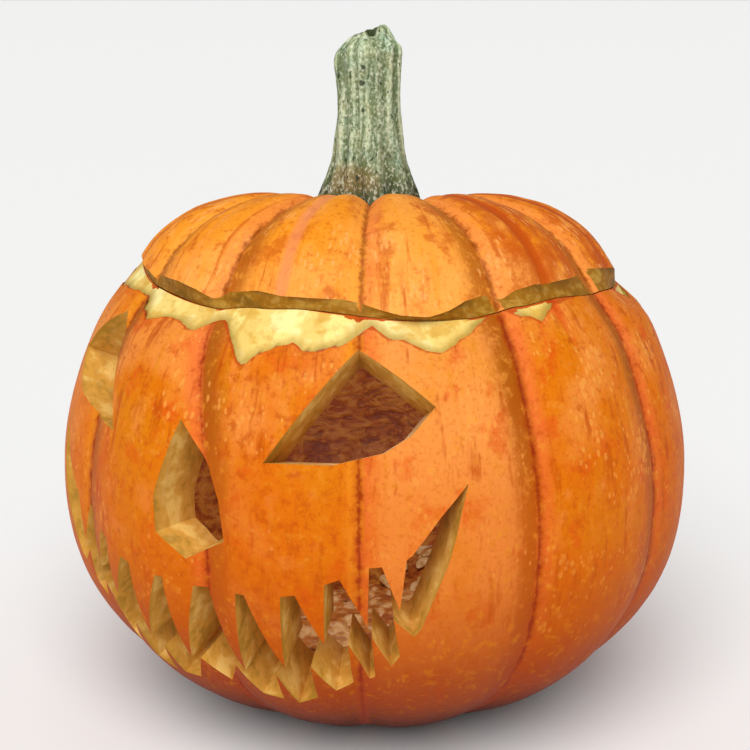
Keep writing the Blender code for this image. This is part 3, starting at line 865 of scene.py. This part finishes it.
def stalk_finish():
    """Dried pumpkin stalk: matt, grey-green and corky, flecked with cream and dark olive along its ribs, with
    dark green furrows and foot, a brown scab, and a dark pit of pith at the top."""
    material, tree, shader, place = new_finish("dried_stalk", 0.80, 0.2)
    height = add_node(tree, "SeparateXYZ", {"Vector": place}, out="Z")
    furrow, pit, scab = (
        add_node(tree, "Attribute", {}, out="Fac", attribute_name=kept) for kept in ("furrow", "pit", "scab")
    )
    # cork flecks 1.3 mm wide and half as long again, dark pits of 3 mm, and lines 3.2 mm wide up the ribs
    drawn = add_node(tree, "Mapping", {"Vector": place, "Scale": (1, 1, 0.7)})
    cork = add_node(
        tree, "TexNoise", {"Vector": drawn, "Scale": 1 / (1.3 * MM), "Detail": 3, "Roughness": 0.6}
    )
    dark_pits = add_node(tree, "TexNoise", {"Vector": drawn, "Scale": 1 / (3 * MM), "Detail": 3})
    upright = add_node(tree, "Mapping", {"Vector": place, "Scale": (1, 1, 0.05)})
    lines = add_node(tree, "TexNoise", {"Vector": upright, "Scale": 1 / (3.2 * MM), "Detail": 1})
    blotches = add_node(tree, "TexNoise", {"Vector": place, "Scale": 1 / (9 * MM), "Detail": 4})
    grainy_scab = add_node(tree, "Math", {0: blotches, 1: 0.8, 2: scab}, operation="MULTIPLY_ADD")
    colour = paint(tree, "#b8c8a2", [
        (blotches, 0.50, 0.62, 0.65, "#bcbe88"),
        (blotches, 0.47, 0.36, 0.60, "#98b6a0"),
        (lines, 0.52, 0.62, 0.70, "#dae2bc"),
        (lines, 0.48, 0.40, 0.65, "#62764a"),
        (furrow, 0.40, 1, 0.60, "#56683c"),
        (height, 272 * MM, 250 * MM, 0.50, "#66703e"),
        (height, 262 * MM, 243 * MM, 0.85, "#26341a"),
        (grainy_scab, 0.60, 1.6, 0.75, "#9c7a48"),
        (cork, 0.50, 0.66, 0.55, "#f2f6dc"),
        (cork, 0.50, 0.35, 0.60, "#5c6a40"),
        (dark_pits, 0.62, 0.69, 0.85, "#303a2c"),
        (pit, 0.3, 1, 0.90, "#3c4824"),
    ])
    relief = add_node(tree, "Math", {0: lines, 1: 2, 2: cork}, operation="MULTIPLY_ADD")
    cover(tree, shader, colour, relief, 1.0, 0.9)
    return material


stem = drawn_out("ribbed_stem", STEM_SIDES, STEM_RINGS, stem_point, [stalk_finish()])
rows = []
for vert in stem.data.vertices:
    off = (vert.co - STEM_FOOT) / MM
    radius, azimuth = math.hypot(off.x, off.y), azimuth_of(off)
    pit = smoothstep(*PIT_RADII, radius) * smoothstep(*PIT_HEIGHTS, off.z)
    scab = smoothstep(SCAB_REACH, 0, abs(off.z - SCAB_HEIGHT))
    scab *= smoothstep(0.5, 1, math.cos(azimuth - SCAB_AZIMUTH))
    rows.append((rib_at(azimuth, off.z), pit, scab))
store(stem, ("furrow", "pit", "scab"), rows)
smooth_between_cuts(stem, RIB_EDGE_DEG)
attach(stem, "root")
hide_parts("stem")

# ----------------------------------------
# The seeds that the scoop missed: flat and pointed, in a pale, tough coat. The wet pulp holds them to the
# scraped wall and the floor.

SEED_LENGTH = 15
SEED_WIDTH = 9
SEED_THICK = 2.8
SEED_TAPER = 0.5
SEED_LIFT = 1.2
SEED_TILT = 0.3
SEED_SIZES = 0.85, 1.05
# Where the first ones lie: azimuth, and share of the way up the wall
FIRST_SEEDS = [(-169, 0.165), (-173, 0.115), (-177, 0.285), (-170, 0.315), (176, 0.18), (-160, 0.21)]
# The others' number, and the two ranges of shares they lie in
STRAY_SEEDS = 46
STRAY_SHARES = (0.10, 0.24), (0.16, 0.3)
NUDGE_ROUND, NUDGE_UP = 0.01, 0.004
chance = random.Random(7)


def seed_finish():
    """Pumpkin seed coat: cream and smooth, a little glossy where it is wet, and browner in patches."""
    material, tree, shader, place = new_finish("pumpkin_seed_coat", 0.42, 0.4)
    clouds = add_node(tree, "TexNoise", {"Vector": place, "Scale": 1 / (4 * MM), "Detail": 3})
    colour = paint(tree, "#e3c88e", [
        (clouds, 0.50, 0.65, 0.80, "#f4e2b8"),
        (clouds, 0.47, 0.35, 0.70, "#b98e4e"),
    ])
    tree.links.new(colour, shader.inputs["Base Color"])
    return material


def wall_frame(azimuth, share, lift):
    """A place this far off the scraped wall, and the directions round the wall, up it and away from it."""
    here = flesh_point(share, azimuth, WALL + lift)
    side = (flesh_point(share, azimuth + NUDGE_ROUND, WALL + lift) - here).normalized()
    up = (flesh_point(share + NUDGE_UP, azimuth, WALL + lift) - here).normalized()
    return here, side, up, up.cross(side).normalized()


bpy.ops.object.select_all(action="DESELECT")
bpy.ops.mesh.primitive_uv_sphere_add(segments=12, ring_count=7, radius=0.5)
pattern = bpy.context.object
for vert in pattern.data.vertices:
    taper = 1 - SEED_TAPER * smoothstep(-0.1, 0.5, vert.co.y)
    vert.co = Vector((vert.co.x * SEED_WIDTH * taper, vert.co.y * SEED_LENGTH, vert.co.z * SEED_THICK)) * MM
pattern.data.materials.append(seed_finish())
spots = [(math.radians(azimuth), share) for azimuth, share in FIRST_SEEDS]
for _ in range(STRAY_SEEDS):
    share = chance.choice([chance.uniform(*shares) for shares in STRAY_SHARES])
    spots.append((chance.uniform(0, math.tau), share))
copies = []
for azimuth, share in spots:
    here, side, up, inward = wall_frame(azimuth, share, SEED_LIFT)
    turn = chance.uniform(0, math.tau)
    normal = inward + SEED_TILT * side * chance.uniform(-1, 1) + SEED_TILT * up * chance.uniform(-1, 1)
    normal.normalize()
    across = (side * math.sin(turn) + up * math.cos(turn)).cross(normal).normalized()
    grown = chance.uniform(*SEED_SIZES)
    lay = Matrix((across * grown, normal.cross(across) * grown, normal * grown)).transposed().to_4x4()
    seed = pattern.copy()
    seed.data = pattern.data.copy()
    bpy.context.scene.collection.objects.link(seed)
    seed.data.transform(Matrix.Translation(here) @ lay)
    copies.append(seed)
bpy.data.objects.remove(pattern, do_unlink=True)
select_only(copies[0])
for seed in copies:
    seed.select_set(True)
bpy.ops.object.join()
seeds = bpy.context.object
seeds.name = "missed_seeds"
bpy.ops.object.shade_smooth()
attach(seeds, "root")

# ----------------------------------------
# The pulp left behind: the soft strings that held the seeds, matted on the floor of the hollow and hanging
# on its wall.

STRING_THICK = 1.1
STRING_POINTS = 7
STRING_TIPS = 0.35
# The floor's strings: the mean and the spread of where their middles lie and of their headings, then ranges
FLOOR_STRINGS = 130
FLOOR_RIGHT, FLOOR_BACK, FLOOR_HEADINGS = (-8, 28), (8, 30), (33, 38)
FLOOR_LENGTHS, FLOOR_STRAY, FLOOR_PILE, FLOOR_THICKS = (22, 46), (-4, 4), (0, 7), (2.5, 6)
FLOOR_RADIUS = 58
FLATTENED = 0.3
# The wall's strings: where they start, how far each point is round and up from the last, and ranges
WALL_STRINGS = 20
WALL_STARTS, WALL_ROUND, WALL_UP = (0.18, 0.5), (0.01, 0.07), (-0.014, 0.010)
WALL_LIFTS, WALL_THICKS = (-0.2, 0.8), (0.5, 0.9)


def string_finish():
    """Wet pumpkin strings: soft and matted, from cream and pinkish tan to orange-brown."""
    material, tree, shader, place = new_finish("pumpkin_strings_wet", 0.45, 0.25)
    clouds = add_node(tree, "TexNoise", {"Vector": place, "Scale": 1 / (16 * MM), "Detail": 3})
    fibres = add_node(
        tree, "TexNoise", {"Vector": place, "Scale": 1 / (8 * MM), "Detail": 4, "Distortion": 1.2}
    )
    colour = paint(tree, "#cc8840", [
        (clouds, 0.50, 0.60, 0.85, "#f2cc88"),
        (clouds, 0.48, 0.40, 0.80, "#a85e2a"),
        (fibres, 0.52, 0.62, 0.55, "#ffeab8"),
        (fibres, 0.47, 0.38, 0.50, "#965022"),
    ])
    cover(tree, shader, colour, fibres, 0.7, 1)
    return material


def lay_strings(name, paths):
    """Soft strings along paths, each with a thickness, thinned to their ends."""
    bpy.ops.object.select_all(action="DESELECT")
    bpy.ops.curve.primitive_nurbs_path_add()
    strings = bpy.context.object
    strings.name = name
    strings.data.splines.clear()
    strings.data.bevel_depth = STRING_THICK * MM
    strings.data.bevel_resolution = 1
    strings.data.resolution_u = 4
    strings.data.use_fill_caps = True
    for path, thickness in paths:
        spline = strings.data.splines.new("NURBS")
        spline.points.add(len(path) - 1)
        spline.use_endpoint_u = True
        spline.order_u = 4
        for index, (spot, point) in enumerate(zip(spline.points, path)):
            spot.co = (*point, 1)
            spot.radius = thickness * (STRING_TIPS if index in (0, len(path) - 1) else 1)
    bpy.ops.object.convert(target="MESH")
    return bpy.context.object


floor_paths, wall_paths = [], []
while len(floor_paths) < FLOOR_STRINGS:
    middle = Vector((chance.gauss(*FLOOR_RIGHT), chance.gauss(*FLOOR_BACK), 0))
    heading = math.radians(chance.gauss(*FLOOR_HEADINGS))
    length = chance.uniform(*FLOOR_LENGTHS)
    path = []
    for step in range(STRING_POINTS):
        off = (step / (STRING_POINTS - 1) - 0.5) * length
        spot = middle + Vector((math.cos(heading), math.sin(heading), 0)) * off
        right, back, rise = (chance.uniform(*drift) for drift in (FLOOR_STRAY, FLOOR_STRAY, FLOOR_PILE))
        spot += Vector((right, back, WALL + rise))
        path.append(spot * MM)
    thickness = chance.uniform(*FLOOR_THICKS)
    if max(spot.xy.length for spot in path) < FLOOR_RADIUS * MM:
        floor_paths.append((path, thickness))
for _ in range(WALL_STRINGS):
    azimuth, share = chance.uniform(0, math.tau), chance.uniform(*WALL_STARTS)
    path = []
    for step in range(STRING_POINTS):
        azimuth += chance.uniform(*WALL_ROUND)
        share += chance.uniform(*WALL_UP)
        path.append(wall_frame(azimuth, share, chance.uniform(*WALL_LIFTS))[0])
    wall_paths.append((path, chance.uniform(*WALL_THICKS)))
floor_strings = lay_strings("pulp_strings", floor_paths)
bpy.ops.object.mode_set(mode="EDIT")
bpy.ops.mesh.select_all(action="SELECT")
bpy.ops.transform.resize(value=(1, 1, FLATTENED), center_override=(0, 0, WALL * MM))
bpy.ops.object.mode_set(mode="OBJECT")
wall_strings = lay_strings("wall_strings", wall_paths)
select_only(floor_strings)
wall_strings.select_set(True)
bpy.ops.object.join()
pulp = bpy.context.object
bpy.ops.object.transform_apply(location=True, rotation=True, scale=True)
pulp.data.materials.clear()
pulp.data.materials.append(string_finish())
bpy.ops.object.shade_smooth()
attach(pulp, "root")

# ----------------------------------------
# The stage: a pale floor, a soft key light over the camera's shoulder, light from all round, a small lamp in
# the hollow so that its wall can be seen, and the camera.

STUDIO_RADIUS = 400
KEY_AZIMUTH, KEY_ELEVATION = math.radians(27), math.radians(48)
KEY_ENERGY, KEY_SOFTNESS = 2.5, math.radians(50)
LAMP_ENERGY, LAMP_SIZE, LAMP_HEIGHT = 0.19, 0.030, 0.150
SKY_STRENGTH = 0.36
CAMERA_AZIMUTH, CAMERA_PITCH = math.radians(32.83), math.radians(14.08)
CAMERA_OUT, CAMERA_HEIGHT = 0.7081, 0.3349
CAMERA_LENS, CAMERA_SENSOR = 72, 36

bpy.ops.object.select_all(action="DESELECT")
bpy.ops.mesh.primitive_circle_add(vertices=96, radius=STUDIO_RADIUS, fill_type="NGON", location=(0, 0, 0))
floor = bpy.context.object
floor.name = "studio_floor"
floor_paint, _, floor_shader, _ = new_finish("pale_studio_floor", 0.9, 0.2)
floor_shader.inputs["Base Color"].default_value = linear("#fafaf9")
floor.data.materials.append(floor_paint)

key_light = bpy.data.lights.new("softbox_key", "SUN")
key_light.energy = KEY_ENERGY
key_light.angle = KEY_SOFTNESS
key = bpy.data.objects.new("softbox_key", key_light)
scene = bpy.context.scene
scene.collection.objects.link(key)
key.location = polar(math.cos(KEY_ELEVATION), KEY_AZIMUTH, math.sin(KEY_ELEVATION))
key.rotation_euler = (-key.location).to_track_quat("-Z", "Y").to_euler()

hollow_light = bpy.data.lights.new("hollow_lamp", "POINT")
hollow_light.energy = LAMP_ENERGY
hollow_light.shadow_soft_size = LAMP_SIZE
hollow_lamp = bpy.data.objects.new("hollow_lamp", hollow_light)
scene.collection.objects.link(hollow_lamp)
hollow_lamp.location = (0, 0, LAMP_HEIGHT)

world = bpy.data.worlds.new("studio")
world.use_nodes = True
sky = world.node_tree.nodes["Background"]
sky.inputs["Color"].default_value = linear("#ffffff")
sky.inputs["Strength"].default_value = SKY_STRENGTH
scene.world = world
scene.view_settings.view_transform = "Standard"

camera = bpy.data.cameras.new("camera")
camera.lens = CAMERA_LENS
camera.sensor_width = CAMERA_SENSOR
eye = bpy.data.objects.new("camera", camera)
scene.collection.objects.link(eye)
eye.location = polar(CAMERA_OUT, CAMERA_AZIMUTH, CAMERA_HEIGHT)
forward = -polar(math.cos(CAMERA_PITCH), CAMERA_AZIMUTH, math.sin(CAMERA_PITCH))
eye.rotation_euler = forward.to_track_quat("-Z", "Y").to_euler()
scene.camera = eye
